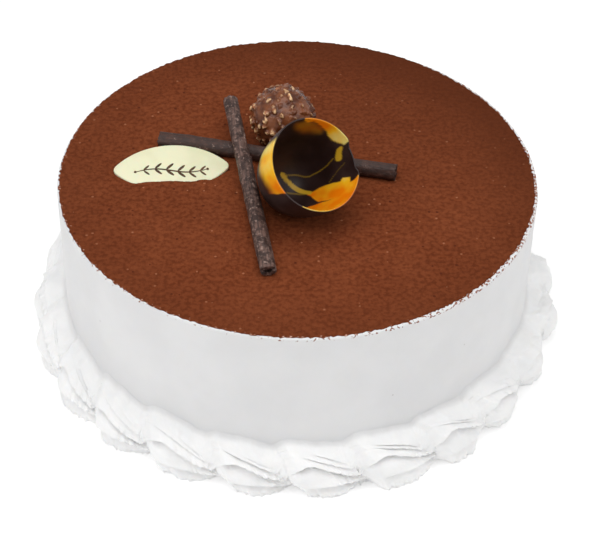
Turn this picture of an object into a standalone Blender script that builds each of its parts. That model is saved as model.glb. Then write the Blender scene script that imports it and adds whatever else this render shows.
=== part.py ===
"""A whole round tiramisu cake: cream-coated body, cocoa layer, piped shell border, five chocolate toppings.

Metres, +Z up. The origin is the middle of the flat base, and the front of the cake faces -Y.
"""

import math
import random

import bmesh
import bpy
from mathutils import Matrix, Vector, noise

# The cake: a cylinder of coated sponge with the cocoa sifted on top.
CAKE_RADIUS = 0.105
CAKE_HEIGHT = 0.081
COCOA_THICKNESS = 0.0012
COCOA_RADIUS = 0.1040
COCOA_RAGGEDNESS = 0.0005
COCOA_RAGGED_PITCH = 9.0
FOOT_ROUNDING = 0.0015
RIM_ROUNDING = 0.0010
CAKE_STEPS = 96
GAP = 0.0003

# The piped border: shells of cream that run round the foot, each with a fat head and a tail.
SHELLS = 23
SHELL_FIRST_DEG = -0.8
SHELL_JITTER_DEG = 1.1
SHELL_SIZE_JITTER = 0.05
SHELL_OVERLAP = 1.36
SHELL_HEAD_LEAD = 0.16
SHELL_CENTRE_OUT = 0.0045
SHELL_CENTRE_UP = 0.0110
SHELL_HALF_DEPTH = 0.0105
SHELL_HALF_HEIGHT = 0.0140
SHELL_HEAD_SHARE = 0.34
SHELL_TAIL_SIZE = 0.34
SHELL_RIGHT_SWELL = 0.10
SHELL_LOBES = 8
SHELL_LOBE_DEPTH = 0.13
SHELL_TWIST = -0.9
SHELL_RINGS = 8
SHELL_RING_SPREAD = 1.3
SHELL_SEED = 11
BEAD_OUT = 0.0030
BEAD_UP = 0.0060
BEAD_RADIUS = 0.0075
BEAD_SIDES = 10
TRIM_REACH = 0.040

# The rolled chocolate sticks. Heights are above the top of the cocoa.
STICK_RADIUS = 0.0034
STICK_BORE = 0.0015
STICK_SHEET = 0.0005
STICK_PRESS = 0.0004
STICK_UNEVENNESS = 0.00018
STICK_WOBBLES = (3.0, 9.0)
STICK_SEAM_TURN = 2.2
STICK_RINGS = 10
STICK_SIDES = 18
BACK_STICK_LEFT = Vector((-0.0617, 0.0194))
BACK_STICK_RIGHT = Vector((0.0429, -0.0009))
FRONT_STICK_NEAR = Vector((-0.0113, -0.0683))
FRONT_STICK_FAR = Vector((-0.0309, 0.0370))

# The nut-coated truffle, pressed through the cocoa.
TRUFFLE_RADIUS = 0.0148
TRUFFLE_BUMP = 0.0007
TRUFFLE_LUMPS = 5.5
TRUFFLE_FLAT = 0.0004
TRUFFLE_AT = Vector((-0.0073, 0.0240))

# The marbled chocolate cup, a deep round-bottomed shell that leans back on the front stick.
CUP_RADIUS = 0.0204
CUP_DEPTH = 0.0350
CUP_WALL = 0.0013
CUP_SHOULDER = 0.8
CUP_NOTCH_DEG = -5.0
CUP_NOTCH_WIDTH_DEG = 64.0
CUP_NOTCH_DEPTH = 0.0028
CUP_RIM_AT = Vector((0.0076, -0.0306))
CUP_AZIMUTH_DEG = 41.6
CUP_ELEVATION_DEG = 48.4
CUP_STEPS = 32
CUP_RINGS = 7

# The white chocolate plaque, its front edge sunk in the cream and its back edge on the back stick.
PLAQUE_HALF_LENGTH = 0.0252
PLAQUE_HALF_WIDTH = 0.0128
PLAQUE_THICKNESS = 0.0016
PLAQUE_TIP_RADIUS = 0.0020
PLAQUE_EDGE = 0.0004
PLAQUE_AT = Vector((-0.0555, 0.0009, 0.0020))
PLAQUE_TURN_DEG = 5.9
PLAQUE_LEAN_DEG = 13.0
PLAQUE_ARC_STEPS = 14
PLAQUE_TIP_STEPS = 4

CREAM_COAT = ("cream_coat", (0.86, 0.85, 0.84), 0.6)
PIPED_CREAM = ("piped_cream", (0.91, 0.90, 0.88), 0.5)
COCOA = ("cocoa", (0.13, 0.037, 0.016), 0.95)
DARK_CHOCOLATE = ("dark_chocolate", (0.045, 0.026, 0.021), 0.55)
NUT_CHOCOLATE = ("nut_chocolate", (0.12, 0.055, 0.035), 0.4)
MARBLED_CHOCOLATE = ("marbled_chocolate", (0.60, 0.25, 0.02), 0.3)
WHITE_CHOCOLATE = ("white_chocolate", (0.85, 0.80, 0.58), 0.45)


def clear_scene():
    for obj in list(bpy.data.objects):
        bpy.data.objects.remove(obj)


def material(finish):
    name, colour, roughness = finish
    made = bpy.data.materials.get(name)
    if made is None:
        made = bpy.data.materials.new(name)
        made.use_nodes = True
        shader = made.node_tree.nodes["Principled BSDF"]
        shader.inputs["Base Color"].default_value = (*colour, 1.0)
        shader.inputs["Roughness"].default_value = roughness
        shader.inputs["Metallic"].default_value = 0.0
    return made


def object_from(name, bm, finish=None):
    """Turns a bmesh into an object of the scene, smooth-shaded with sharp corners."""
    bmesh.ops.recalc_face_normals(bm, faces=bm.faces)
    mesh = bpy.data.meshes.new(name)
    bm.to_mesh(mesh)
    bm.free()
    mesh.shade_smooth()
    mesh.set_sharp_from_angle(angle=math.radians(40))
    if finish:
        mesh.materials.append(material(finish))
    obj = bpy.data.objects.new(name, mesh)
    bpy.context.scene.collection.objects.link(obj)
    return obj


def helper(obj, collection):
    """Marks obj as a cutter and moves it into its collection."""
    obj.hide_render = True
    obj.display_type = "WIRE"
    bpy.context.scene.collection.objects.unlink(obj)
    collection.objects.link(obj)
    return obj


def new_collection(name):
    made = bpy.data.collections.new(name)
    bpy.context.scene.collection.children.link(made)
    return made


def boolean(obj, operation, collection):
    modifier = obj.modifiers.new(operation.lower(), "BOOLEAN")
    modifier.operation = operation
    modifier.operand_type = "COLLECTION"
    modifier.collection = collection
    modifier.solver = "EXACT"
    return modifier


def bake_modifiers(obj):
    """Replaces obj's mesh with the one that its modifiers give."""
    bpy.context.view_layer.update()
    graph = bpy.context.evaluated_depsgraph_get()
    baked = bpy.data.meshes.new_from_object(obj.evaluated_get(graph))
    obj.modifiers.clear()
    obj.data = baked


def remove_collection(collection):
    for obj in list(collection.objects):
        bpy.data.objects.remove(obj)
    bpy.data.collections.remove(collection)


def spin_full(bm, geometry, steps):
    """Turns geometry once round Z and closes the seam."""
    turn = 2 * math.pi
    bmesh.ops.spin(bm, geom=geometry, axis=(0, 0, 1), cent=(0, 0, 0), angle=turn, steps=steps, use_merge=True)
    bmesh.ops.remove_doubles(bm, verts=bm.verts, dist=1e-6)


def lathe(profile, steps):
    """A closed bmesh from a profile of (radius, height) points that starts and ends on the axis."""
    bm = bmesh.new()
    points = [bm.verts.new((radius, 0.0, height)) for radius, height in profile]
    edges = [bm.edges.new(pair) for pair in zip(points, points[1:])]
    spin_full(bm, points + edges, steps)
    return bm


def loft(rings, start, end):
    """A closed bmesh through rings of points of equal count, each end drawn in to one point."""
    bm = bmesh.new()
    made = [[bm.verts.new(point) for point in ring] for ring in rings]
    count = len(made[0])
    for low, high in zip(made, made[1:]):
        for i in range(count):
            after = (i + 1) % count
            bm.faces.new((low[i], low[after], high[after], high[i]))
    for ring, tip in ((made[0], start), (made[-1], end)):
        point = bm.verts.new(tip)
        for i in range(count):
            bm.faces.new((ring[i], ring[(i + 1) % count], point))
    return bm


def quarter_round(radius, corner, start_deg, steps):
    """(radius, height) points of a quarter circle about corner, from start_deg turning clockwise."""
    angles = [math.radians(start_deg - 90 * i / steps) for i in range(steps + 1)]
    return [(corner[0] + radius * math.cos(a), corner[1] + radius * math.sin(a)) for a in angles]


def make_cake():
    """The body that the cream coats, up to the underside of the cocoa."""
    top = CAKE_HEIGHT - COCOA_THICKNESS - GAP
    rim = quarter_round(RIM_ROUNDING, (CAKE_RADIUS - RIM_ROUNDING, top - RIM_ROUNDING), 90, 3)
    foot = quarter_round(FOOT_ROUNDING, (CAKE_RADIUS - FOOT_ROUNDING, FOOT_ROUNDING), 0, 2)
    profile = [(0.0, top), *rim, *foot, (0.0, 0.0)]
    return object_from("cake_body", lathe(profile, CAKE_STEPS), CREAM_COAT)


def make_cocoa():
    """The sifted cocoa, a thin disc with a ragged edge."""
    middle = Vector((0, 0, CAKE_HEIGHT - COCOA_THICKNESS / 2))
    low, high = [], []
    for i in range(CAKE_STEPS):
        angle = 2 * math.pi * i / CAKE_STEPS
        way = Vector((math.cos(angle), math.sin(angle), 0))
        radius = COCOA_RADIUS + COCOA_RAGGEDNESS * noise.noise(way * COCOA_RAGGED_PITCH)
        low.append(way * radius + Vector((0, 0, CAKE_HEIGHT - COCOA_THICKNESS)))
        high.append(way * (radius - COCOA_THICKNESS / 3) + Vector((0, 0, CAKE_HEIGHT)))
    half = Vector((0, 0, COCOA_THICKNESS / 2))
    return object_from("cocoa_layer", loft([low, high], middle - half, middle + half), COCOA)


def swell(share):
    """A shell's thickness at a share of its length: a round head, then a long taper to the tail."""
    if share < SHELL_HEAD_SHARE:
        return math.sqrt(1 - (1 - share / SHELL_HEAD_SHARE) ** 2)
    along = (share - SHELL_HEAD_SHARE) / (1 - SHELL_HEAD_SHARE)
    return SHELL_TAIL_SIZE + (1 - SHELL_TAIL_SIZE) * math.cos(math.pi / 2 * along) ** 2


def shell_mesh(first, last, size):
    """One piped shell from angle first to angle last, both counted from -Y towards +X."""

    def centre(share):
        angle = first + (last - first) * share
        way = Vector((math.sin(angle), -math.cos(angle), 0))
        return way, way * (CAKE_RADIUS + SHELL_CENTRE_OUT) + Vector((0, 0, SHELL_CENTRE_UP * size))

    rings = []
    sides = 2 * SHELL_LOBES
    for i in range(1, SHELL_RINGS + 1):
        share = (i / (SHELL_RINGS + 1)) ** SHELL_RING_SPREAD
        way, middle = centre(share)
        thick = swell(share) * size
        ring = []
        for j in range(sides):
            lobe = 1 + SHELL_LOBE_DEPTH * (1 if j % 2 else -1)
            angle = 2 * math.pi * j / sides + SHELL_TWIST * share
            out = SHELL_HALF_DEPTH * thick * lobe * math.cos(angle)
            up = SHELL_HALF_HEIGHT * thick * lobe * math.sin(angle)
            ring.append(middle + way * out + Vector((0, 0, up)))
        rings.append(ring)
    return loft(rings, centre(0)[1], centre(1)[1])


def bead_mesh():
    """The plain bead of cream under the shells, which fills the corner between cake and base."""
    bm = bmesh.new()
    section = []
    for i in range(BEAD_SIDES):
        angle = 2 * math.pi * i / BEAD_SIDES
        radius = CAKE_RADIUS + BEAD_OUT + BEAD_RADIUS * math.cos(angle)
        section.append(bm.verts.new((radius, 0, BEAD_UP + BEAD_RADIUS * math.sin(angle))))
    edges = [bm.edges.new((section[i], section[(i + 1) % BEAD_SIDES])) for i in range(BEAD_SIDES)]
    spin_full(bm, section + edges, SHELLS * 3)
    return bm


def make_border():
    """The ring of shells, joined to one solid and trimmed by the cake's wall and by the base."""
    dice = random.Random(SHELL_SEED)
    starts = []
    for i in range(SHELLS):
        starts.append(SHELL_FIRST_DEG + 360 / SHELLS * i + dice.uniform(-1, 1) * SHELL_JITTER_DEG)
    starts.append(starts[0] + 360)
    shells = new_collection("shells")
    for number, (start, after) in enumerate(zip(starts, starts[1:])):
        step = after - start
        first = math.radians(start - SHELL_HEAD_LEAD * step)
        last = first + math.radians(step * SHELL_OVERLAP)
        right = math.sin(math.radians(start))
        size = 1 + SHELL_RIGHT_SWELL * max(0.0, right) + dice.uniform(-1, 1) * SHELL_SIZE_JITTER
        helper(object_from(f"shell_{number}", shell_mesh(first, last, size)), shells)
    border = object_from("piped_border", bead_mesh(), PIPED_CREAM)
    boolean(border, "UNION", shells)
    bake_modifiers(border)
    remove_collection(shells)

    trims = new_collection("border_trims")
    wall = CAKE_RADIUS + GAP
    wide = CAKE_RADIUS + TRIM_REACH
    high, low = TRIM_REACH, -TRIM_REACH
    profile = [(0, high), (wall, high), (wall, 0), (wide, 0), (wide, low), (0, low)]
    helper(object_from("border_trim", lathe(profile, CAKE_STEPS * 2)), trims)
    boolean(border, "DIFFERENCE", trims)
    bake_modifiers(border)
    remove_collection(trims)


def stick_mesh(length, phase):
    """A rolled sheet of chocolate along +Z: a tube whose seam winds slowly round it."""
    round_wobbles, long_wobbles = STICK_WOBBLES
    bm = bmesh.new()
    outside, inside = [], []
    for i in range(STICK_RINGS + 1):
        share = i / STICK_RINGS
        seam = phase + STICK_SEAM_TURN * share
        outer, inner = [], []
        for j in range(STICK_SIDES):
            turn = j / STICK_SIDES
            angle = seam + 2 * math.pi * turn
            way = Vector((math.cos(angle), math.sin(angle), 0))
            uneven = noise.noise(way * round_wobbles + Vector((0, 0, long_wobbles * share + phase)))
            radius = STICK_RADIUS - STICK_SHEET * turn + STICK_UNEVENNESS * uneven
            height = Vector((0, 0, length * share))
            outer.append(bm.verts.new(way * radius + height))
            inner.append(bm.verts.new(way * STICK_BORE + height))
        outside.append(outer)
        inside.append(inner)
    walls = [*outside, *reversed(inside)]
    for low, high in zip(walls, [*walls[1:], walls[0]]):
        for j in range(STICK_SIDES):
            after = (j + 1) % STICK_SIDES
            bm.faces.new((low[j], low[after], high[after], high[j]))
    return bm


def place_between(obj, start, end):
    obj.rotation_mode = "QUATERNION"
    obj.rotation_quaternion = (end - start).to_track_quat("Z", "Y")
    obj.location = start


def stick_ends():
    """The sticks' end points above the cocoa: the back one lies flat, the front one crosses over it."""
    low = STICK_RADIUS - STICK_PRESS
    back = (BACK_STICK_LEFT.to_3d() + Vector((0, 0, low)), BACK_STICK_RIGHT.to_3d() + Vector((0, 0, low)))
    near = FRONT_STICK_NEAR.to_3d() + Vector((0, 0, low))
    along = FRONT_STICK_FAR - FRONT_STICK_NEAR
    across = BACK_STICK_RIGHT - BACK_STICK_LEFT
    offset = BACK_STICK_LEFT - FRONT_STICK_NEAR
    share = offset.cross(across) / along.cross(across)
    lift = 2 * STICK_RADIUS + GAP
    far = FRONT_STICK_FAR.to_3d() + Vector((0, 0, low + lift / share))
    return back, (near, far)


def make_stick(name, ends, phase, parent):
    obj = object_from(name, stick_mesh((ends[1] - ends[0]).length, phase), DARK_CHOCOLATE)
    place_between(obj, *ends)
    obj.parent = parent
    return obj


def make_truffle(parent):
    """A ball with lumps of nut under its coat, flattened where it sits."""
    bm = bmesh.new()
    bmesh.ops.create_icosphere(bm, subdivisions=4, radius=TRUFFLE_RADIUS)
    floor = TRUFFLE_FLAT - TRUFFLE_RADIUS
    for vert in bm.verts:
        way = vert.co.normalized()
        lump = noise.noise(way * TRUFFLE_LUMPS) + 0.5 * noise.noise(way * TRUFFLE_LUMPS * 2)
        vert.co = way * (TRUFFLE_RADIUS + TRUFFLE_BUMP * lump)
        vert.co.z = max(vert.co.z, floor)
    obj = object_from("truffle", bm, NUT_CHOCOLATE)
    obj.location = (*TRUFFLE_AT, -floor - COCOA_THICKNESS)
    obj.parent = parent
    return obj


def cup_profile(radius, depth, low):
    """(radius, height) points from the rim down to the pole, which is at height low."""
    points = []
    for i in range(CUP_RINGS + 1):
        angle = math.pi / 2 * i / CUP_RINGS
        points.append((radius * math.cos(angle) ** CUP_SHOULDER, low + depth * (1 - math.sin(angle))))
    points[-1] = (0.0, low)
    return points


def notch(angle_deg):
    """How far the rim dips at an angle round the cup."""
    off = (angle_deg - CUP_NOTCH_DEG + 180) % 360 - 180
    if abs(off) > CUP_NOTCH_WIDTH_DEG / 2:
        return 0.0
    return CUP_NOTCH_DEPTH * math.cos(math.pi * off / CUP_NOTCH_WIDTH_DEG) ** 2


def cup_mesh():
    """The cup upright, with its pole at the origin and its opening up +Z."""
    outside = cup_profile(CUP_RADIUS, CUP_DEPTH, 0.0)
    inside = cup_profile(CUP_RADIUS - CUP_WALL, CUP_DEPTH - CUP_WALL, CUP_WALL)
    bm = lathe([*reversed(inside), *outside], CUP_STEPS)
    for vert in bm.verts:
        if vert.co.z > 0.5 * CUP_DEPTH:
            fade = (vert.co.z / CUP_DEPTH - 0.5) * 2
            angle = math.degrees(math.atan2(vert.co.y, vert.co.x))
            vert.co.z -= notch(angle) * fade
    return bm


def cup_matrix():
    """Stands the cup on the cream under the cocoa, its opening towards the viewer and up."""
    azimuth, elevation = math.radians(CUP_AZIMUTH_DEG), math.radians(CUP_ELEVATION_DEG)
    level = math.cos(elevation)
    opening = Vector((math.sin(azimuth) * level, -math.cos(azimuth) * level, math.sin(elevation)))
    side = Vector((0, 0, 1)).cross(opening).normalized()
    turn = Matrix((side, opening.cross(side), opening)).transposed().to_4x4()
    rim = CUP_RIM_AT.to_3d()
    return Matrix.Translation(rim - opening * CUP_DEPTH) @ turn


def make_cup(parent):
    obj = object_from("marbled_cup", cup_mesh(), MARBLED_CHOCOLATE)
    matrix = cup_matrix()
    lowest = min((matrix @ vert.co).z for vert in obj.data.vertices)
    obj.matrix_basis = Matrix.Translation((0, 0, -lowest - COCOA_THICKNESS)) @ matrix
    obj.parent = parent
    return obj


def plaque_outline(grow):
    """(x, y) points of a lens with round tips, set out by grow: two long arcs and two short ones."""
    tip_x = PLAQUE_HALF_LENGTH - PLAQUE_TIP_RADIUS
    rise = PLAQUE_HALF_WIDTH - PLAQUE_TIP_RADIUS
    arc = (tip_x**2 / rise + PLAQUE_TIP_RADIUS + PLAQUE_HALF_WIDTH) / 2
    drop = arc - PLAQUE_HALF_WIDTH
    join = math.atan2(drop, tip_x)
    arcs = [
        ((tip_x, 0), PLAQUE_TIP_RADIUS, -join, join, PLAQUE_TIP_STEPS),
        ((0, -drop), arc, join, math.pi - join, PLAQUE_ARC_STEPS),
        ((-tip_x, 0), PLAQUE_TIP_RADIUS, math.pi - join, math.pi + join, PLAQUE_TIP_STEPS),
        ((0, drop), arc, math.pi + join, 2 * math.pi - join, PLAQUE_ARC_STEPS),
    ]
    points = []
    for middle, radius, first, last, steps in arcs:
        for i in range(steps):
            angle = first + (last - first) * i / steps
            x = middle[0] + (radius + grow) * math.cos(angle)
            y = middle[1] + (radius + grow) * math.sin(angle)
            points.append((x, y))
    return points


def plaque_mesh(grow=0.0):
    """A plate with the plaque's outline, its top face at z 0."""
    bm = bmesh.new()
    low = -PLAQUE_THICKNESS - grow
    base = bm.faces.new([bm.verts.new((x, y, low)) for x, y in plaque_outline(grow)])
    side = bmesh.ops.extrude_face_region(bm, geom=[base])
    top = [item for item in side["geom"] if isinstance(item, bmesh.types.BMVert)]
    bmesh.ops.translate(bm, verts=top, vec=(0, 0, PLAQUE_THICKNESS + 2 * grow))
    if not grow:
        rims = [edge for edge in bm.edges if abs(edge.verts[0].co.z - edge.verts[1].co.z) < 1e-6]
        bmesh.ops.bevel(bm, geom=rims, offset=PLAQUE_EDGE, segments=1, affect="EDGES")
    return bm


def place_plaque(obj, parent):
    obj.location = PLAQUE_AT
    obj.rotation_euler = (math.radians(PLAQUE_LEAN_DEG), 0, math.radians(PLAQUE_TURN_DEG))
    obj.parent = parent


def press_marks(parent, cocoa, cake, cup):
    """Cuts the dents that the toppings make, each with a small clearance."""
    marks = new_collection("press_marks")
    slots = new_collection("plaque_slot")
    for ends in stick_ends():
        length = (ends[1] - ends[0]).length
        reach = STICK_RADIUS + 2 * GAP
        profile = [(0, length + GAP), (reach, length + GAP), (reach, -GAP), (0, -GAP)]
        groove = helper(object_from("stick_groove", lathe(profile, STICK_SIDES)), marks)
        place_between(groove, *ends)
        groove.parent = parent

    bm = bmesh.new()
    reach = TRUFFLE_RADIUS + 2 * TRUFFLE_BUMP
    bmesh.ops.create_uvsphere(bm, u_segments=32, v_segments=24, radius=reach)
    dent = helper(object_from("truffle_dent", bm), marks)
    dent.location = (*TRUFFLE_AT, TRUFFLE_RADIUS - COCOA_THICKNESS)
    dent.parent = parent

    profile = cup_profile(CUP_RADIUS + 2 * GAP, CUP_DEPTH + 3 * GAP, -2 * GAP)
    dent = helper(object_from("cup_dent", lathe([(0, CUP_DEPTH + GAP), *profile], CUP_STEPS)), marks)
    dent.matrix_basis = cup.matrix_basis
    dent.parent = parent

    for collection in (marks, slots):
        slot = helper(object_from("plaque_slot", plaque_mesh(GAP)), collection)
        place_plaque(slot, parent)
    boolean(cocoa, "DIFFERENCE", marks)
    boolean(cake, "DIFFERENCE", slots)


def main():
    clear_scene()
    cake = make_cake()
    cocoa = make_cocoa()
    make_border()
    top = bpy.data.objects.new("cake_top", None)
    top.location = (0, 0, CAKE_HEIGHT)
    bpy.context.scene.collection.objects.link(top)
    back, front = stick_ends()
    make_stick("back_stick", back, 0.6, top)
    make_stick("front_stick", front, 2.4, top)
    make_truffle(top)
    cup = make_cup(top)
    place_plaque(object_from("plaque", plaque_mesh(), WHITE_CHOCOLATE), top)
    press_marks(top, cocoa, cake, cup)


main()
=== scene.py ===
import math
import random

import bpy
from mathutils import Matrix, Vector, noise
from mathutils.bvhtree import BVHTree


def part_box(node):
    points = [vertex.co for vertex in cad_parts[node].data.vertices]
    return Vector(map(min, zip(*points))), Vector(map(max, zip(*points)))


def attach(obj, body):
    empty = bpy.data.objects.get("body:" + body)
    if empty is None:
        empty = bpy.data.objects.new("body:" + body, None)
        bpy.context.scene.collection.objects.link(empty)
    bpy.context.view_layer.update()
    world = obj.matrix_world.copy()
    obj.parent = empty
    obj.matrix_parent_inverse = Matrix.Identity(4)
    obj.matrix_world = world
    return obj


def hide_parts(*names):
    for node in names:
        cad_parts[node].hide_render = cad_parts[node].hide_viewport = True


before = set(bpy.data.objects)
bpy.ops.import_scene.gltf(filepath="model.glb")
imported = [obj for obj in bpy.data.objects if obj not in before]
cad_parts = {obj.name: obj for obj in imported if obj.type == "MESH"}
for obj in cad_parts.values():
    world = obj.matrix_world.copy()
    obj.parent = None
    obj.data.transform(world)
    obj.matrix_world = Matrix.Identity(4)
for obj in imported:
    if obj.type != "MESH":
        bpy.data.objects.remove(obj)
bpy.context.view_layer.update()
print("loaded the frame:", sorted(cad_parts))

# sizes that the pieces share, in metres, read from the frame
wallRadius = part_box("cake_body")[1].x
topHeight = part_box("cocoa_layer")[1].z


# small helpers for modelling

def activate(piece):
    bpy.ops.object.select_all(action="DESELECT")
    piece.select_set(True)
    bpy.context.view_layer.objects.active = piece


def named(piece, name):
    piece.name = name
    piece.data.name = name
    return piece


def objectFrom(name, data):
    thing = bpy.data.objects.new(name, data)
    bpy.context.scene.collection.objects.link(thing)
    return thing


def editMode(piece, *actions):
    # each action is called in edit mode with everything selected
    activate(piece)
    bpy.ops.object.mode_set(mode="EDIT")
    for action in actions:
        bpy.ops.mesh.select_all(action="SELECT")
        action()
    bpy.ops.object.mode_set(mode="OBJECT")


def closeSeams(piece, reach=1e-5):
    editMode(
        piece,
        lambda: bpy.ops.mesh.remove_doubles(threshold=reach),
        lambda: bpy.ops.mesh.normals_make_consistent(inside=False),
    )


def applyModifiers(piece):
    activate(piece)
    for modifier in list(piece.modifiers):
        bpy.ops.object.modifier_apply(modifier=modifier.name)


def smooth(piece, sharpDeg=None):
    activate(piece)
    if sharpDeg is None:
        bpy.ops.object.shade_smooth()
    else:
        bpy.ops.object.shade_smooth_by_angle(angle=math.radians(sharpDeg))


def join(pieces, name):
    activate(pieces[0])
    for piece in pieces:
        piece.select_set(True)
    bpy.ops.object.join()
    return named(pieces[0], name)


def turned(name, profile, steps):
    # spins a (radius, height) profile round the cake's axis
    mesh = bpy.data.meshes.new(name)
    edges = [(i, i + 1) for i in range(len(profile) - 1)]
    mesh.from_pydata([(radius, 0, height) for radius, height in profile], edges, [])
    piece = objectFrom(name, mesh)
    editMode(piece, lambda: bpy.ops.mesh.spin(
        steps=steps, angle=2 * math.pi, center=(0, 0, 0), axis=(0, 0, 1), use_auto_merge=True))
    closeSeams(piece)
    return piece


def rolledGrid(name, across, along, rule):
    # a flat grid whose points a rule rolls up; the rule gets shares from 0 to 1 both ways
    bpy.ops.mesh.primitive_grid_add(x_subdivisions=across, y_subdivisions=along, size=1)
    piece = named(bpy.context.object, name)
    for point in piece.data.vertices:
        point.co = rule(point.co.x + 0.5, point.co.y + 0.5)
    closeSeams(piece)
    return piece


def ruffle(piece, pitch, height, depth=2, middle=0.5):
    # uneven relief along the normals, from one of Blender's cloud textures
    texture = bpy.data.textures.new(f"{piece.name}Clouds{len(piece.modifiers)}", "CLOUDS")
    texture.noise_scale = pitch
    texture.noise_depth = depth
    relief = piece.modifiers.new("relief", "DISPLACE")
    relief.texture = texture
    relief.texture_coords = "LOCAL"
    relief.strength = height
    relief.mid_level = middle


def paint(piece, name, rule):
    # a value for each point, kept as an attribute that the material reads
    mask = piece.data.attributes.new(name, "FLOAT", "POINT")
    for point in piece.data.vertices:
        mask.data[point.index].value = rule(point)


def finishPiece(piece, material, slot, *nodes):
    # puts the piece on the cake, with the CAD nodes that it stands for
    piece.data.materials.append(material)
    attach(piece, "root")
    if nodes:
        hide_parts(*nodes)
    print("made", piece.name, len(piece.data.polygons), "faces")


def step(low, high, value):
    share = min(1.0, max(0.0, (value - low) / (high - low)))
    return share * share * (3 - 2 * share)


def direction(angle):
    return Vector((math.cos(angle), math.sin(angle), 0))


def noiseAt(x, y=0, z=0):
    return noise.noise(Vector((x, y, z)))


# small helpers for materials

def addNode(tree, kind, inputs, **settings):
    # an input is a fixed value, or another node's socket, which is linked
    node = tree.nodes.new("ShaderNode" + kind)
    for label, value in settings.items():
        setattr(node, label, value)
    for label, value in inputs.items():
        socket = node.inputs[label]
        if isinstance(value, bpy.types.NodeSocket):
            tree.links.new(value, socket)
        else:
            socket.default_value = (*value, 1) if socket.type == "RGBA" else value
    return node


def coordinates(tree, kind="Object"):
    return addNode(tree, "TexCoord", {}).outputs[kind]


def clouds(tree, place, scale, detail):
    return addNode(tree, "TexNoise", {"Vector": place, "Scale": scale, "Detail": detail}).outputs["Fac"]


def streaks(tree, place, squeeze, detail):
    # clouds drawn out along the axis that is squeezed least
    squeezed = addNode(tree, "Mapping", {"Vector": place, "Scale": squeeze}).outputs["Vector"]
    return clouds(tree, squeezed, 1, detail)


def calculate(tree, operation, *values):
    return addNode(tree, "Math", dict(enumerate(values)), operation=operation).outputs["Value"]


def spread(tree, value, source, target=(0.0, 1.0), **settings):
    # carries a value from one range over to another and clamps it there
    labels = ("From Min", "From Max", "To Min", "To Max")
    inputs = {"Value": value, **dict(zip(labels, (*source, *target)))}
    return addNode(tree, "MapRange", inputs, **settings).outputs["Result"]


def mixColours(tree, factor, first, second):
    mix = addNode(tree, "Mix", {"Factor": factor, "A": first, "B": second}, data_type="RGBA")
    return mix.outputs["Result"]


def readMask(tree, name):
    return addNode(tree, "Attribute", {}, attribute_name=name).outputs["Fac"]


def newMaterial(name, roughness, **sockets):
    material = bpy.data.materials.new(name)
    material.use_nodes = True
    shader = material.node_tree.nodes["Principled BSDF"]
    shader.inputs["Roughness"].default_value = roughness
    for label, value in sockets.items():
        shader.inputs[label.replace("_", " ")].default_value = value
    return material, material.node_tree


def dress(material, colour, **relief):
    # gives the material's shader its colour and, where there is one, its fine relief
    tree = material.node_tree
    shader = tree.nodes["Principled BSDF"]
    tree.links.new(colour, shader.inputs["Base Color"])
    if relief:
        tree.links.new(useGroup(tree, "fineRelief", "Normal", **relief), shader.inputs["Normal"])
    return material


# node groups that several materials use

def newGroup(name, inputs, outputs):
    # returns the group, the sockets that its values come from and those that its results go to
    group = bpy.data.node_groups.new(name, "ShaderNodeTree")
    for label, value in inputs.items():
        isColour = isinstance(value, tuple)
        kind = "NodeSocketColor" if isColour else "NodeSocketFloat"
        socket = group.interface.new_socket(label, in_out="INPUT", socket_type=kind)
        socket.default_value = (*value, 1) if isColour else value
    for label, kind in outputs.items():
        group.interface.new_socket(label, in_out="OUTPUT", socket_type=kind)
    return group, group.nodes.new("NodeGroupInput").outputs, group.nodes.new("NodeGroupOutput").inputs


def useGroup(tree, name, output, **values):
    return addNode(tree, "Group", values, node_tree=groups[name]).outputs[output]


def mottle(tree, dark, light, scale, detail=4.0, low=0.35, high=0.65):
    return useGroup(
        tree, "mottledTone", "Color", Dark=dark, Light=light, Scale=scale, Detail=detail, Low=low, High=high)


def mottledTone():
    # two colours mixed by soft clouds, for anything with an uneven tone
    group, given, results = newGroup(
        "mottledTone",
        {"Scale": 50.0, "Detail": 4.0, "Low": 0.35, "High": 0.65, "Dark": (0.1,) * 3, "Light": (0.5,) * 3},
        {"Color": "NodeSocketColor", "Mask": "NodeSocketFloat"},
    )
    cloud = clouds(group, coordinates(group), given["Scale"], given["Detail"])
    mask = spread(group, cloud, (given["Low"], given["High"]), interpolation_type="SMOOTHSTEP")
    group.links.new(mixColours(group, mask, given["Dark"], given["Light"]), results["Color"])
    group.links.new(mask, results["Mask"])
    return group


def speckMask():
    # small round specks, sparse: painted shade of pits in the cream, and in the cocoa painted shade of holes
    # and pale grains
    group, given, results = newGroup(
        "speckMask", {"Scale": 400.0, "Size": 0.2, "Rarity": 0.6}, {"Mask": "NodeSocketFloat"})
    place = coordinates(group)
    cells = addNode(group, "TexVoronoi", {"Vector": place, "Scale": given["Scale"]}, feature="F1").outputs
    near = calculate(group, "LESS_THAN", cells["Distance"], given["Size"])
    chance = addNode(group, "SeparateColor", {"Color": cells["Color"]}).outputs["Red"]
    rare = calculate(group, "GREATER_THAN", chance, given["Rarity"])
    group.links.new(calculate(group, "MULTIPLY", near, rare), results["Mask"])
    return group


def fineRelief():
    # two noises of different pitch as one normal
    group, given, results = newGroup(
        "fineRelief",
        {"Coarse": 300.0, "Fine": 1500.0, "Share": 0.5, "Height": 0.0002},
        {"Normal": "NodeSocketVector"},
    )
    coarse, fine = (clouds(group, coordinates(group), given[label], 3) for label in ("Coarse", "Fine"))
    blend = addNode(group, "Mix", {"Factor": given["Share"], "A": coarse, "B": fine}, data_type="FLOAT")
    bump = addNode(group, "Bump", {"Height": blend.outputs["Result"], "Distance": given["Height"]})
    group.links.new(bump.outputs["Normal"], results["Normal"])
    return group


groups = {"mottledTone": mottledTone(), "speckMask": speckMask(), "fineRelief": fineRelief()}


# the room: camera, light and a pale floor

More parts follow.
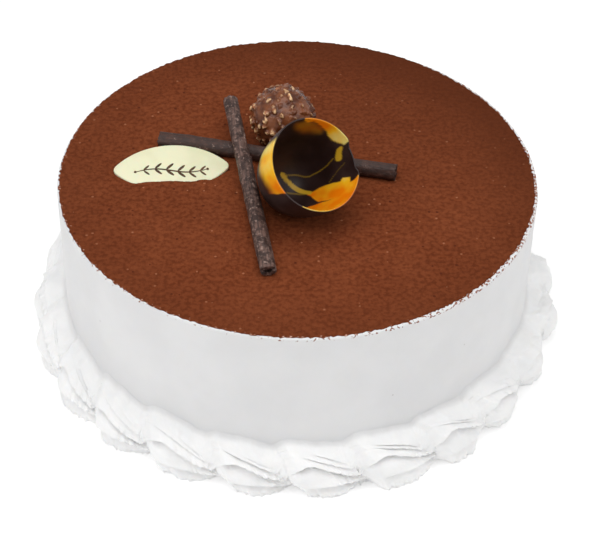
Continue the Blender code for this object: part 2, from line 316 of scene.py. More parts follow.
roomLook = {
    "sensor": 36,  # mm
    "lens": 108.2,  # mm: 1800 px across a 599 px frame
    "cameraAt": (0.0016, -0.6222, 0.5690),
    "pitchDeg": 41.28,  # how far the camera looks down
    "rollDeg": 1.13,
    "floorSize": 6,
    "floorColour": (0.90, 0.90, 0.90, 1),
    "floorGlow": 0.22,  # keeps the ground as white as a studio sweep
    "skyColour": (1.0, 1.0, 1.0, 1),
    "skyStrength": 0.44,
}

softboxes = {
    "overhead": {"at": (-0.03, -0.12, 0.80), "size": 0.85, "power": 3.85},
    "leftFill": {"at": (-1.15, -0.7, 1.0), "size": 0.9, "power": 4.6},
    "rightFill": {"at": (1.3, -0.15, 0.95), "size": 0.9, "power": 3.7},
}


def makeRoom():
    look = roomLook
    view = bpy.data.cameras.new("camera")
    view.sensor_width = look["sensor"]
    view.lens = look["lens"]
    camera = objectFrom("camera", view)
    tilt = Matrix.Rotation(math.radians(90 - look["pitchDeg"]), 4, "X")
    roll = Matrix.Rotation(math.radians(look["rollDeg"]), 4, "Z")
    camera.matrix_world = Matrix.Translation(look["cameraAt"]) @ tilt @ roll
    bpy.context.scene.camera = camera
    bpy.context.scene.view_settings.view_transform = "Standard"

    world = bpy.data.worlds.new("studio")
    world.use_nodes = True
    sky = world.node_tree.nodes["Background"]
    sky.inputs["Color"].default_value = look["skyColour"]
    sky.inputs["Strength"].default_value = look["skyStrength"]
    bpy.context.scene.world = world

    for name, box in softboxes.items():
        light = bpy.data.lights.new(name, "AREA")
        light.shape = "DISK"
        light.size = box["size"]
        light.energy = box["power"]
        lamp = objectFrom(name, light)
        lamp.location = box["at"]
        lamp.rotation_euler = (-Vector(box["at"])).to_track_quat("-Z", "Y").to_euler()

    bpy.ops.mesh.primitive_plane_add(size=look["floorSize"], location=(0, 0, 0))
    floor = named(bpy.context.object, "paleFloor")
    material, _ = newMaterial(
        "paleFloor", 0.9, Base_Color=look["floorColour"],
        Emission_Color=(1, 1, 1, 1), Emission_Strength=look["floorGlow"])
    floor.data.materials.append(material)


makeRoom()
print("set up the room")


# the coat of cream on the wall, with its sharp upper edge dusted with cocoa

coatLook = {
    "rim": 0.0009,  # rounding of the upper edge
    "foot": 0.001,  # slant at the lower edge
    "underDust": 0.0005,  # how far the flat top lies under the cocoa's surface
    "steps": 480,
    "wallRings": 70,
    "rimRings": 5,
    "insets": (0.002, 0.004, 0.008, 0.02),  # rings of points on the flat top, in from the wall
    "bigWaves": (0.030, 0.0009),  # pitch and height of the spatula's waves
    "smallWaves": (0.006, 0.00016),
    "specksBelow": 0.0010,  # cocoa clings to the rim this far below the top
    "specksReach": 0.0007,
    "speckLift": (0.36, 0.50),  # how readily it clings on the left and on the right
    "speckFrom": (1.02, 1.06),  # a crumb shows from this sum of its noise and its lift
    "crumbs": 900,  # how fine the noise is that breaks it into crumbs
    "pitShadeTone": (0.55, 0.54, 0.53),
    "speckTone": (0.24, 0.075, 0.035),
}


def makeCoat():
    look = coatLook
    high = topHeight - look["underDust"]
    foot, rim = look["foot"], look["rim"]
    profile = [(0, 0), (wallRadius - 4 * foot, 0), (wallRadius - foot, 0), (wallRadius, foot)]
    rise = high - rim - foot
    for i in range(1, look["wallRings"] + 1):
        profile.append((wallRadius, foot + rise * i / look["wallRings"]))
    for i in range(1, look["rimRings"] + 1):
        angle = math.radians(90 / look["rimRings"] * i)
        profile.append((wallRadius - rim + rim * math.cos(angle), high - rim + rim * math.sin(angle)))
    for inset in look["insets"]:
        profile.append((wallRadius - inset, high))
    profile.append((0, high))
    coat = turned("creamCoat", profile, look["steps"])
    for pitch, height in (look["bigWaves"], look["smallWaves"]):
        ruffle(coat, pitch, height)
    applyModifiers(coat)
    for point in coat.data.vertices:
        point.co.z = min(max(point.co.z, 0.0), high)
        reach = math.hypot(point.co.x, point.co.y)
        if reach > wallRadius:
            point.co.x *= wallRadius / reach
            point.co.y *= wallRadius / reach
    smooth(coat, 50)
    finishPiece(coat, coatMaterial(), "cream_coat", "cake_body")


def coatMaterial():
    look = coatLook
    material, tree = newMaterial(
        "creamCoat", 0.62, Subsurface_Weight=0.25, Subsurface_Scale=0.004, Subsurface_Radius=(1.0, 0.8, 0.6))
    # the cream on the wall is greyer than the piped cream: painted shade of the upright wall, which gets less
    # light than the border
    tone = mottle(tree, (0.735, 0.732, 0.735), (0.775, 0.771, 0.772), 28.0)
    # grey specks: painted shade of tiny pits in the cream
    shadedPits = useGroup(tree, "speckMask", "Mask", Scale=170.0, Size=0.075, Rarity=0.90)
    tone = mixColours(tree, shadedPits, tone, look["pitShadeTone"])
    # specks of cocoa that cling just below the rim, more of them on the right
    place = coordinates(tree)
    apart = addNode(tree, "SeparateXYZ", {"Vector": place}).outputs
    nearRim = calculate(tree, "COMPARE", apart["Z"], topHeight - look["specksBelow"], look["specksReach"])
    lift = spread(tree, apart["X"], (-0.2 * wallRadius, 0.8 * wallRadius), look["speckLift"])
    crumbs = calculate(tree, "MULTIPLY_ADD", nearRim, lift, clouds(tree, place, look["crumbs"], 2))
    tone = mixColours(tree, spread(tree, crumbs, look["speckFrom"]), tone, look["speckTone"])
    return dress(material, tone, Coarse=220.0, Fine=1400.0, Share=0.35, Height=0.00016)


# the sifted cocoa on top

dustLook = {
    "thickness": 0.0009,
    "edge": 0.0003,  # how far the dust stops short of the wall
    "bevel": 0.0003,  # height of the slant at its lower edge and at its upper one
    "shoulder": 0.0004,  # the flat top starts this far in from the edge
    "steps": 720,
    "rings": 128,
    "crowding": 1.25,  # the rings lie closer together towards the edge
    "ragged": 0.0008,
    "bites": (70, 260),  # how fine the broad and the small bites of the ragged edge are
    "shortRight": 0.0007,  # on the right the dust stops this much shorter
    "pulled": 0.0080,  # the ring of dust that gives way to the ragged edge
    "waves": (0.012, 0.0005),
    "lumps": (0.0026, 0.00014),
    "grains": (0.0009, 0.00012),
    "reliefMiddle": 0.62,  # the relief lowers the dust more than it raises it
    "crumbs": 900,  # how fine the noise is that breaks it into crumbs
    "bareFrom": (0.80, 0.86),  # the cream shows from this sum of the crumbs' noise and the rim's share
    "streakTone": (0.120, 0.028, 0.010),
    "holeShadeTone": (0.095, 0.021, 0.008),
    "paleTone": (0.34, 0.125, 0.060),
    # painted shade, darker towards the back, the right and the rim
    "paintedShadeTone": (0.088, 0.021, 0.007),
    "thinTone": (0.66, 0.40, 0.30),
}


def makeDust():
    look = dustLook
    edge = wallRadius - look["edge"]
    under = topHeight - look["thickness"]
    profile = [
        (0, under),
        (edge - 0.001, under),
        (edge, under + look["bevel"]),
        (edge - 0.0001, topHeight - look["bevel"]),
    ]
    for i in range(look["rings"] + 1):
        share = (i / look["rings"]) ** look["crowding"]
        profile.append(((edge - look["shoulder"]) * (1 - share), topHeight))
    dust = turned("cocoaDust", profile, look["steps"])
    upper = dust.vertex_groups.new(name="upper")
    upper.add([p.index for p in dust.data.vertices if p.co.z > topHeight - 0.0001], 1.0, "REPLACE")
    for pitch, height in (look["waves"], look["lumps"], look["grains"]):
        ruffle(dust, pitch, height, depth=1, middle=look["reliefMiddle"])
        dust.modifiers[-1].vertex_group = "upper"
    applyModifiers(dust)
    broad, small = look["bites"]
    for point in dust.data.vertices:
        point.co.z = min(point.co.z, topHeight)
        reach = math.hypot(point.co.x, point.co.y)
        if reach > edge - look["pulled"]:
            way = Vector((point.co.x / reach, point.co.y / reach, 0))
            pull = look["ragged"] * (0.5 + noise.noise(way * broad) + 0.5 * noise.noise(way * small))
            pull += look["shortRight"] * step(-0.2, 0.8, way.x)
            point.co -= way * max(0.0, pull) * step(edge - look["pulled"], edge - 0.0005, reach)
    smooth(dust)
    finishPiece(dust, dustMaterial(), "cocoa", "cocoa_layer")


def dustMaterial():
    look = dustLook
    material, tree = newMaterial("cocoaDust", 1.0, Specular_IOR_Level=0.08)
    wide = mottle(tree, (0.158, 0.036, 0.011), (0.205, 0.052, 0.018), 45.0, 3.0)
    grain = mottle(tree, (0.105, 0.023, 0.007), (0.245, 0.064, 0.023), 520.0, 5.0, 0.34, 0.62)
    tone = mixColours(tree, 0.55, wide, grain)
    # faint streaks that run across the cake, left by the spatula under the dust
    place = coordinates(tree)
    streaked = spread(tree, streaks(tree, place, (110, 380, 1), 2), (0.35, 0.65), (0.0, 0.30))
    tone = mixColours(tree, streaked, tone, look["streakTone"])
    # dark specks: painted shade of tiny holes in the dust
    shadedHoles = useGroup(tree, "speckMask", "Mask", Scale=300.0, Size=0.18, Rarity=0.92)
    tone = mixColours(tree, shadedHoles, tone, look["holeShadeTone"])
    pale = useGroup(tree, "speckMask", "Mask", Scale=420.0, Size=0.22, Rarity=0.95)
    tone = mixColours(tree, pale, tone, look["paleTone"])

    def farFromBase(inset):
        # how far the top is from the middle of the base, this far in from the wall
        return math.hypot(wallRadius - inset, topHeight)

    # painted shade: the dust is darker towards the back and the right, and towards the rim, where less light
    # falls
    backRight = addNode(tree, "VectorMath", {0: place, 1: (0.6, 0.8, 0)}, operation="DOT_PRODUCT")
    shadedBackRight = spread(
        tree, backRight.outputs["Value"], (0.0, wallRadius), (0.0, 0.55), interpolation_type="SMOOTHSTEP")
    reach = addNode(tree, "VectorMath", {0: place}, operation="LENGTH").outputs["Value"]
    shadedOutwards = spread(
        tree, reach, (farFromBase(0.38 * wallRadius), farFromBase(0)), (0.0, 0.30),
        interpolation_type="SMOOTHSTEP")
    tone = mixColours(tree, calculate(tree, "ADD", shadedBackRight, shadedOutwards), tone, look["paintedShadeTone"])
    # close to the rim the dust is thin and the cream shows between the grains
    nearRim = spread(tree, reach, (farFromBase(0.0030), farFromBase(0.0003)), (0.0, 0.30))
    thin = calculate(tree, "ADD", clouds(tree, place, look["crumbs"], 4), nearRim)
    tone = mixColours(tree, spread(tree, thin, look["bareFrom"]), tone, look["thinTone"])
    return dress(material, tone, Coarse=700.0, Fine=2600.0, Share=0.45, Height=0.0007)


makeCoat()
makeDust()


# the piped border: shells of whipped cream that run round the foot from left to right

borderLook = {
    "count": 23,
    "firstDeg": -0.8,  # where a shell starts, counted from the front towards the right
    "jitterDeg": 1.1,
    "seed": 11,
    "centreOut": 0.0015,  # the section's middle, out from the wall and up from the base
    "centreUp": 0.0065,
    "halfDepth": 0.0146,
    "halfHeight": 0.0142,
    # the border is not even: its size, and how far the foot is pulled in, at every 30 degrees
    # from the front over the right to the back and on to the front again
    "sizes": (1.00, 1.08, 1.14, 1.06, 0.95, 0.94, 0.95, 0.96, 0.98, 1.02, 1.00, 0.98, 1.00),
    "pulledIn": (0.0034, 0.0024, 0.0046, 0.0004, 0.0012, 0.0012, 0.0012,
                 0.0012, 0.0010, 0.0011, 0.0008, 0.0030, 0.0034),
    "flare": 0.0005,  # the foot spreads out by this much
    "sink": 0.0005,  # the cream bites into the coat behind it
    # parts of a shell, as shares of its length
    "headRise": (-0.06, 0.14),  # a head swells over this part
    "tailFall": (0.35, 0.97),  # the foot of the tail thins out over this part
    "crownFall": (0.45, 1.0),  # and its upper edge sinks over this part
    "sizeChange": (0.70, 1.0),  # the next shell's size takes over
    "creaseChange": (0.94, 1.0),  # and so do its creases
    "tornPart": (0.25, 0.75),  # lips are torn more and more over this part
    "tips": (0.96, -0.04),  # the ragged tips of this tail and of the one before
    "tipReach": 0.05,
    # parts of the section, as shares of the way from the wall to the ground
    "lowPart": (0.10, 0.70),  # where the foot's dip takes over from the crown's
    "pulledPart": (0.20, 0.75),
    "flarePart": (0.72, 1.0),
    "tipPart": (0.50, 0.12),  # middle and reach of a tail's ragged tip
    "topDip": 0.0030,  # how much lower and nearer the upper edge is at the end of a tail
    "footDip": 0.0050,  # and its foot
    "fillet": 0.0040,  # the cream thins out up the wall
    "filletReach": 0.0012,
    "lip": 0.0010,  # a ridge's lower lip stands out this far
    "recess": 0.0020,  # and the next ridge starts this much deeper
    "overhang": 0.022,  # share of the section by which a lip hangs over
    "tooth": 0.034,  # torn teeth along a lip, as a share of the section
    "lean": 34,  # steps along by which a shell starts earlier at its crown than at its foot
    "swell": 0.0013,  # broad unevenness
    "swellPitch": (0.09, 2.5),  # how fine it is along, per mm, and down the section
    "bites": (0.35, 1.3, 0.28),  # broad bites of a torn edge: level, depth and how fine, per mm
    "teeth": ((0.55, 0.75, 5), (0.25, 1.6, 7)),  # teeth on them: depth, how fine and seed
    "tear": 0.0024,  # ragged tip of a tail
    "ragged": 0.0017,  # unevenness of the foot's outline
    "crowding": 1.3,  # rows of points lie closer together towards a lip, and the first ones to the wall
    "along": 1850,
    "hidden": 5,  # faces of the section that lie against the wall and the ground
    "onGround": 0.4,  # the share of them on the ground
    "thinTo": 0.0024,  # the cream takes the wall's greyer tone, which is painted shade, where it stands out less than this
    "shadedWallTone": (0.76, 0.755, 0.755),
}

# Each crease's place in the section, from 0 at the wall to 1 at the ground, at five places along a shell
# from its head to its tail, and where along the shell it opens and closes. Then its lip and its recess as
# shares of the usual, how steeply the recess ends, how torn the lip is, how much shells differ, and the
# rows of faces above it.
creases = [
    {"at": (0.12, 0.16, 0.21, 0.28, 0.36), "open": (0.35, 0.75), "close": (0.86, 0.97),
     "lip": 0.25, "recess": 0.40, "steep": 1.2, "torn": 0.5, "vary": 0.7, "rows": 8},
    {"at": (0.22, 0.25, 0.31, 0.38, 0.44), "open": (0.10, 0.45), "close": (0.88, 0.98),
     "lip": 0.40, "recess": 0.60, "steep": 1.3, "torn": 0.6, "vary": 0.5, "rows": 8},
    {"at": (0.46, 0.37, 0.43, 0.51, 0.54), "open": (0.02, 0.18), "close": (0.94, 1.00),
     "lip": 1.3, "recess": 1.7, "steep": 2.0, "torn": 1.2, "vary": 0.2, "rows": 10},
    {"at": (0.72, 0.66, 0.65, 0.66, 0.62), "open": (0.04, 0.22), "close": (0.90, 0.99),
     "lip": 1.1, "recess": 1.3, "steep": 2.4, "torn": 1.6, "vary": 0.3, "rows": 10},
    {"at": (1.00, 1.00, 1.00, 1.00, 1.00), "open": (-2, -1), "close": (8, 9),
     "lip": 0.0, "recess": 0.0, "steep": 1.0, "torn": 0.0, "vary": 0.0, "rows": 9},
]


def alongCurve(values, share):
    # smooth passage through values that stand at equal steps from share 0 to share 1
    place = min(1.0, max(0.0, share)) * (len(values) - 1)
    first = min(int(place), len(values) - 2)
    before = values[max(0, first - 1)]
    after = values[min(len(values) - 1, first + 2)]
    rise, fall = (values[first + 1] - before) / 2, (after - values[first]) / 2
    t = place - first
    return (values[first] * (1 - t) ** 2 * (1 + 2 * t) + values[first + 1] * t * t * (3 - 2 * t)
            + rise * t * (1 - t) ** 2 - fall * t * t * (1 - t))


def oddShell(dice):
    # how one shell differs from the usual one
    return {
        "size": dice.uniform(-0.03, 0.03),
        "wander": [dice.uniform(-0.04, 0.04) if crease["recess"] else 0.0 for crease in creases],
        "later": [dice.uniform(-0.6, 0.6) * crease["vary"] * 0.4 for crease in creases],
        "depth": [1 + dice.uniform(-1.0, 0.5) * crease["vary"] for crease in creases],
    }


def raggedEdge(along, seed):
    # a torn edge along the border: broad bites with sharp corners, and finer teeth on them
    level, depth, pitch = borderLook["bites"]
    edge = level - depth * abs(noiseAt(along * pitch, seed))
    for depth, pitch, kind in borderLook["teeth"]:
        edge += depth * noiseAt(along * pitch, seed, kind)
    return edge


def creaseLines(share, along, odd):
    # where each crease lies in the section and how deep it is, at this share of a shell
    look = borderLook
    # a tail's creases end just before the next head, and there the places change over
    change = step(*look["creaseChange"], share)
    lines = []
    for k, crease in enumerate(creases):
        opened = step(*crease["open"], share - odd["later"][k]) * (1 - step(*crease["close"], share))
        opened *= odd["depth"][k]
        torn = raggedEdge(along, k * 9) * (0.25 + 0.75 * step(*look["tornPart"], share))
        place = alongCurve(crease["at"], share) * (1 - change) + crease["at"][0] * change
        lines.append({
            "at": place + odd["wander"][k] * math.sin(math.pi * share),
            "lip": crease["lip"] * opened,
            "recess": crease["recess"] * opened,
            "steep": crease["steep"],
            "tooth": look["tooth"] * crease["torn"] * torn * min(1.0, opened),
        })
    return lines


def ringAt(turn, starts, odd):
    # everything about the border's section at one turn round the cake
    look = borderLook
    number = max(i for i, start in enumerate(starts) if start <= turn)
    share = (turn - starts[number]) / (starts[number + 1] - starts[number])
    # this shell's head, and the next one's, which starts before this one ends
    head = step(*look["headRise"], share)
    nextHead = step(*look["headRise"], share - 1)
    here, after = odd[number], odd[number + 1]
    change = step(*look["sizeChange"], share)
    size = alongCurve(look["sizes"], turn / (2 * math.pi))
    along = turn * (wallRadius + look["halfDepth"]) * 1000
    return {
        "way": Vector((math.sin(turn), -math.cos(turn), 0)),
        "foot": max(head * (1 - step(*look["tailFall"], share)), nextHead),
        "crown": max(head * (1 - step(*look["crownFall"], share)), nextHead),
        "size": size + here["size"] * (1 - change) + after["size"] * change,
        "pulledIn": alongCurve(look["pulledIn"], turn / (2 * math.pi)),
        "lines": creaseLines(share, along, here),
        "tip": sum(math.exp(-((share - tip) / look["tipReach"]) ** 2) for tip in look["tips"]),
        "along": along,
    }


def sectionSpot(ring, place, out):
    # place runs from 0 at the wall to 1 at the ground; out is the relief in metres
    look = borderLook
    bigger = ring["size"] - 1
    low = step(*look["lowPart"], place)
    dip = look["topDip"] * (1 - ring["crown"]) * (1 - low) + look["footDip"] * (1 - ring["foot"]) * low
    depth = look["halfDepth"] * (1 + 0.4 * bigger) + out - dip
    height = look["halfHeight"] * (1 + bigger) + out - dip
    up = look["centreUp"] * (1 + 0.5 * bigger)
    top = math.acos(-(look["centreOut"] + look["sink"]) / depth)
    ground = -math.asin(min(0.95, up / height))
    angle = top + (ground - top) * place
    beyond = look["centreOut"] + depth * math.cos(angle)
    rise = look["fillet"] * math.exp(-(beyond + look["sink"]) / look["filletReach"])
    high = max(0.0, up + height * math.sin(angle) + rise)
    return ring["way"] * (wallRadius + beyond) + Vector((0, 0, high))


def sectionRows():
    # (ridge, share from its upper crease to its lip) for each row of points down the section
    crowding = borderLook["crowding"]
    rows = []
    for k, crease in enumerate(creases):
        for i in range(crease["rows"] + 1):
            share = i / crease["rows"]
            rows.append((k, 1 - (1 - share) ** crowding if k else share ** crowding))
    return rows


def borderSpot(ring, ridge, share):
    # a point of the border, at this share of the way down one ridge of its section
    look = borderLook
    lines, along = ring["lines"], ring["along"]
    upper = lines[ridge - 1] if ridge else {"at": 0.0, "recess": 0.0, "steep": 1.0}
    lower = lines[ridge]
    lip = lower["at"] + look["overhang"] * lower["lip"] + lower["tooth"]
    place = upper["at"] + (lip - upper["at"]) * share
    lengthwise, downwards = look["swellPitch"]
    here = Vector((along * lengthwise, place * downwards, 0))
    out = look["swell"] * (noise.noise(here) + 0.4 * noise.noise(here * 2.4 + Vector((3, 3, 3))))
    out += look["flare"] * step(*look["flarePart"], place)
    out -= ring["pulledIn"] * step(*look["pulledPart"], place)
    out += look["lip"] * lower["lip"] * share ** 2
    out -= look["recess"] * upper["recess"] * (1 - share) ** upper["steep"]
    torn = max(0.0, noiseAt(along * 0.9, place * 30, 4))
    middle, reach = look["tipPart"]
    out += look["tear"] * ring["tip"] * torn * math.exp(-((place - middle) / reach) ** 2)
    if ridge == len(lines) - 1:
        out += look["ragged"] * raggedEdge(along, 70) * share ** 3
    return sectionSpot(ring, place, out)


def makeBorder():
    look = borderLook
    dice = random.Random(look["seed"])
    count, steps = look["count"], look["along"]
    pitch = 2 * math.pi / count
    first = math.radians(look["firstDeg"])
    starts = [first + pitch * i + math.radians(dice.uniform(-1, 1) * look["jitterDeg"]) for i in range(count)]
    starts.append(starts[0] + 2 * math.pi)
    odd = [oddShell(dice) for _ in range(count)]
    odd.append(odd[0])
    rings = [ringAt(starts[0] + 2 * math.pi * i / steps, starts, odd) for i in range(steps)]
    rows = sectionRows()
    around = len(rows) - 1 + look["hidden"]

    def outside(number, row):
        # the form is read further along towards the crown, so that a head starts over the last tail
        shift = round(look["lean"] * (0.5 - row / len(rows)))
        form = {**rings[(number + shift) % steps], "way": rings[number]["way"]}
        return borderSpot(form, *rows[row])

    def rule(across, along):
        number = round(along * steps) % steps
        row = round(across * around)
        if row < len(rows):
            return outside(number, row)
        # back along the ground and up the wall, just inside the coat
        share = (row - len(rows) + 1) / look["hidden"]
        way = rings[number]["way"]
        foot = outside(number, len(rows) - 1).to_2d().length
        back = wallRadius - look["sink"]
        if share <= look["onGround"]:
            return way * (foot + (back - foot) * share / look["onGround"])
        rise = (share - look["onGround"]) / (1 - look["onGround"])
        return way * back + Vector((0, 0, outside(number, 0).z * rise))

    border = rolledGrid("pipedShells", around, steps, rule)
    paint(border, "thin", lambda p: 1 - step(0, look["thinTo"], math.hypot(p.co.x, p.co.y) - wallRadius))
    smooth(border, 70)
    finishPiece(border, pipedMaterial(), "piped_cream", "piped_border")


def pipedMaterial():
    material, tree = newMaterial(
        "pipedCream", 0.55, Subsurface_Weight=0.15, Subsurface_Scale=0.0015,
        Subsurface_Radius=(1.0, 0.85, 0.7))
    tone = mottle(tree, (0.885, 0.885, 0.885), (0.925, 0.922, 0.918), 60.0)
    # where it thins out up the wall it takes the wall's greyer tone, which is painted shade
    tone = mixColours(tree, readMask(tree, "thin"), tone, borderLook["shadedWallTone"])
    return dress(material, tone, Coarse=420.0, Fine=1700.0, Share=0.3, Height=0.0003)


makeBorder()


# the rolled chocolate sticks: a thin sheet wound up, its free edge lying slantwise along the stick

stickLook = {
    "turns": 3.2,
    "pitch": 0.00058,  # from one layer to the next
    "sheet": 0.00042,
    "curl": 0.00035,  # the free edge stands off a little
    "curlReach": 0.06,  # over this much of the first turn
    "oval": 0.93,
    "pinch": 0.16,  # the near end is pressed flatter
    "pinchReach": 0.12,  # over this share of the length
    "endTear": 0.0009,
    "endReach": 0.05,  # an end is torn over this share of the length
    "tornWidth": 0.45,  # turns of the outer layer that are missing where it is torn off
    "tornDepth": 0.00095,
    "bark": ((1.0, 1.6, 11), (0.7, 4, 26), (0.4, 11, 80)),  # strength, fineness round and along the stick
    "around": 130,
    "along": 240,
    "bloomTone": (0.290, 0.190, 0.155),
    "streakTone": (0.030, 0.016, 0.013),
}

sticks = {
    "backStick": {"node": "back_stick", "axis": 0, "radius": 0.0037, "seamDeg": 60, "twistDeg": 70,
                  "tornFrom": 2.0, "bark": 0.00017, "material": "plainChocolate", "seed": 3},
    # the outer layer of the front stick is torn off from just below the crossing to its far end, and
    # that of the back stick nowhere, as tornFrom lies past its end
    "frontStick": {"node": "front_stick", "axis": 1, "radius": 0.0040, "seamDeg": 35, "twistDeg": 95,
                   "tornFrom": 0.64, "bark": 0.00027, "material": "darkChocolate", "seed": 8},
}


def stickEnds(node, axis):
    # the middles of the two end rings of a CAD stick, the lower along that axis first
    points = [point.co.copy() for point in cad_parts[node].data.vertices]
    ends = []
    for edge in (min(p[axis] for p in points), max(p[axis] for p in points)):
        ring = [p for p in points if abs(p[axis] - edge) < 0.003]
        ends.append(sum(ring, Vector()) / len(ring))
    return ends


def makeStick(name, stick):
    look = stickLook
    start, end = stickEnds(stick["node"], stick["axis"])
    length = (end - start).length
    drift = Vector((stick["seed"], 0, 0))

    def unevenness(way, along, fineRound, fineAlong):
        return noise.noise(way * fineRound + Vector((0, 0, along * fineAlong)) + drift)

    def rule(around, along):
        wound = look["turns"] * around
        angle = math.radians(stick["seamDeg"] + stick["twistDeg"] * along) + 2 * math.pi * wound
        way = direction(angle)
        bark = sum(strength * unevenness(way, along, *fineness) for strength, *fineness in look["bark"])
        radius = stick["radius"] - look["pitch"] * wound - stick["bark"] * max(0.0, 0.9 + bark)
        loose = 0.4 + noise.noise(Vector((along * 14, 3, 0)) + drift)
        radius += look["curl"] * math.exp(-wound / look["curlReach"]) * loose
        edge = stick["tornFrom"] + 0.012 * noise.noise(way * 3 + drift)
        missing = min(1.0, max(0.0, 1.6 * (1 - wound / look["tornWidth"])))
        radius -= look["tornDepth"] * missing * step(edge - 0.005, edge, along)
        height = length * along
        if abs(along - 0.5) > 0.5 - look["endReach"]:
            height -= look["endTear"] * unevenness(way, round(along), 3, 40) * (1 - 2 * along)
        flat = look["oval"] - look["pinch"] * step(look["pinchReach"], 0.0, along)
        return Vector((way.x * radius, way.y * radius * flat, height))

    roll = rolledGrid(name, look["around"], look["along"], rule)
    wall = roll.modifiers.new("sheet", "SOLIDIFY")
    wall.thickness = look["sheet"]
    wall.offset = -1
    applyModifiers(roll)
    smooth(roll, 45)
    turn = (end - start).to_track_quat("Z", "Y").to_matrix().to_4x4()
    roll.data.transform(Matrix.Translation(start) @ turn)
    finishPiece(roll, materials[stick["material"]], "dark_chocolate", stick["node"])


def darkChocolateMaterial(name, light, bloomFrom):
    # light is the tone of its paler clouds, and bloom shows where its own clouds pass bloomFrom
    look = stickLook
    material, tree = newMaterial(name, 0.50, Specular_IOR_Level=0.40)
    tone = mottle(tree, (0.042, 0.019, 0.014), light, 330.0, 4.0, 0.40, 0.62)
    bloom = useGroup(
        tree, "mottledTone", "Mask", Scale=640.0, Detail=5.0, Low=bloomFrom, High=bloomFrom + 0.13)
    tone = mixColours(tree, bloom, tone, look["bloomTone"])
    # long streaks that follow the roll, on the sheet's own map
    darker = spread(tree, streaks(tree, coordinates(tree, "UV"), (90, 7, 1), 3), (0.46, 0.62), (0.0, 0.75))
    tone = mixColours(tree, darker, tone, look["streakTone"])
    return dress(material, tone, Coarse=480.0, Fine=1900.0, Share=0.4, Height=0.0008)


# the truffle: chopped nuts under a thin coat of milk chocolate

truffleLook = {
    "core": 0.0138,
    "reach": 0.0152,  # the outermost that a nut may come
    "above": 0.0002,  # its top may stand above the solid's by this much
    "nuts": 190,
    "nutSize": (0.0011, 0.0025),
    "nutFlat": (0.5, 1.0),
    "nutKnobs": (0.8, 1.5),  # how far its corners are drawn in or out
    "nutTurn": 6.28,  # turned any way round, in radians
    "strayRound": 0.25,  # how far nuts stray from an even pattern, round the ball and up
    "strayUp": 0.06,
    "sunk": 0.26,  # how deep a nut's middle lies, as a share of its size
    "showing": 0.74,  # share of the nuts that show through the chocolate
    "bareSide": (-0.55, -0.60, -0.30),  # more of them show on this side
    "proud": (0.0003, 0.0011),  # a nut shows where it stands this far out of the core
    "coat": 3,  # rounds of smoothing that the coat gives
    "seed": 5,
}


def makeNuts(dice):
    # nuts in an even spiral over the core, as one rough mesh, and which of them show
    look = truffleLook
    bpy.ops.mesh.primitive_ico_sphere_add(subdivisions=3, radius=look["core"], location=(0, 0, 0))
    parts = [bpy.context.object]
    golden = math.pi * (3 - math.sqrt(5))
    shows = []
    for number in range(look["nuts"]):
        height = 1 - 2 * (number + 0.5) / look["nuts"]
        ring = math.sqrt(1 - height * height)
        angle = golden * number + dice.uniform(-1, 1) * look["strayRound"]
        height += dice.uniform(-1, 1) * look["strayUp"]
        way = Vector((ring * math.cos(angle), ring * math.sin(angle), height)).normalized()
        size = dice.uniform(*look["nutSize"])
        spot = way * (look["core"] - size * look["sunk"])
        bpy.ops.mesh.primitive_ico_sphere_add(subdivisions=1, radius=size, location=spot)
        nut = bpy.context.object
        nut.rotation_euler = [dice.uniform(0, look["nutTurn"]) for _ in range(3)]
        nut.scale = [dice.uniform(*look["nutFlat"]) for _ in range(3)]
        for corner in nut.data.vertices:
            corner.co *= dice.uniform(*look["nutKnobs"])
        parts.append(nut)
        shows.append(dice.random() < look["showing"] * (1 + way.dot(Vector(look["bareSide"]))))
    coreFaces, nutFaces = len(parts[0].data.polygons), len(nut.data.polygons)
    rough = join(parts, "nutsOnCore")
    activate(rough)
    bpy.ops.object.transform_apply(location=True, rotation=True, scale=True)
    return rough, coreFaces, nutFaces, shows


def makeTruffle():
    look = truffleLook
    low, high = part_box("truffle")
    middle = Vector(((low.x + high.x) / 2, (low.y + high.y) / 2, high.z - look["reach"] + look["above"]))
    rough, coreFaces, nutFaces, shows = makeNuts(random.Random(look["seed"]))
    tree = BVHTree.FromObject(rough, bpy.context.evaluated_depsgraph_get())

    # a fine ball drawn tight over the nuts, as the chocolate coat is
    bpy.ops.mesh.primitive_ico_sphere_add(subdivisions=7, radius=look["reach"], location=(0, 0, 0))
    ball = named(bpy.context.object, "nutTruffle")
    bare = ball.data.attributes.new("bareNut", "FLOAT", "POINT")
    for point in ball.data.vertices:
        way = point.co.normalized()
        spot, _, face, _ = tree.ray_cast(way * look["reach"] * 1.5, -way)
        point.co = way * min(spot.length, look["reach"])
        showing = face >= coreFaces and shows[(face - coreFaces) // nutFaces]
        patch = step(-0.15, 0.15, noise.noise(way * 16) + 0.3)
        bare.data[point.index].value = showing * patch * step(*look["proud"], spot.length - look["core"])
    bpy.data.objects.remove(rough)
    soften = ball.modifiers.new("coat", "SMOOTH")
    soften.factor = 0.5
    soften.iterations = look["coat"]
    applyModifiers(ball)
    floor = low.z - middle.z
    for point in ball.data.vertices:
        point.co.z = max(point.co.z, floor)
        point.co += middle
    smooth(ball)
    finishPiece(ball, nutChocolateMaterial(), "nut_chocolate", "truffle")


def nutChocolateMaterial():
    material, tree = newMaterial("nutChocolate", 0.20, Specular_IOR_Level=0.42)
    tone = mottle(tree, (0.080, 0.019, 0.006), (0.205, 0.063, 0.021), 190.0, 3.0)
    nutty = mottle(tree, (0.34, 0.12, 0.045), (0.90, 0.58, 0.30), 420.0, 3.0, 0.40, 0.58)
    tone = mixColours(tree, readMask(tree, "bareNut"), tone, nutty)
    return dress(material, tone, Coarse=500.0, Fine=2000.0, Share=0.3, Height=0.0003)


# the marbled chocolate cup: a deep thin shell with a scoop broken out of its rim

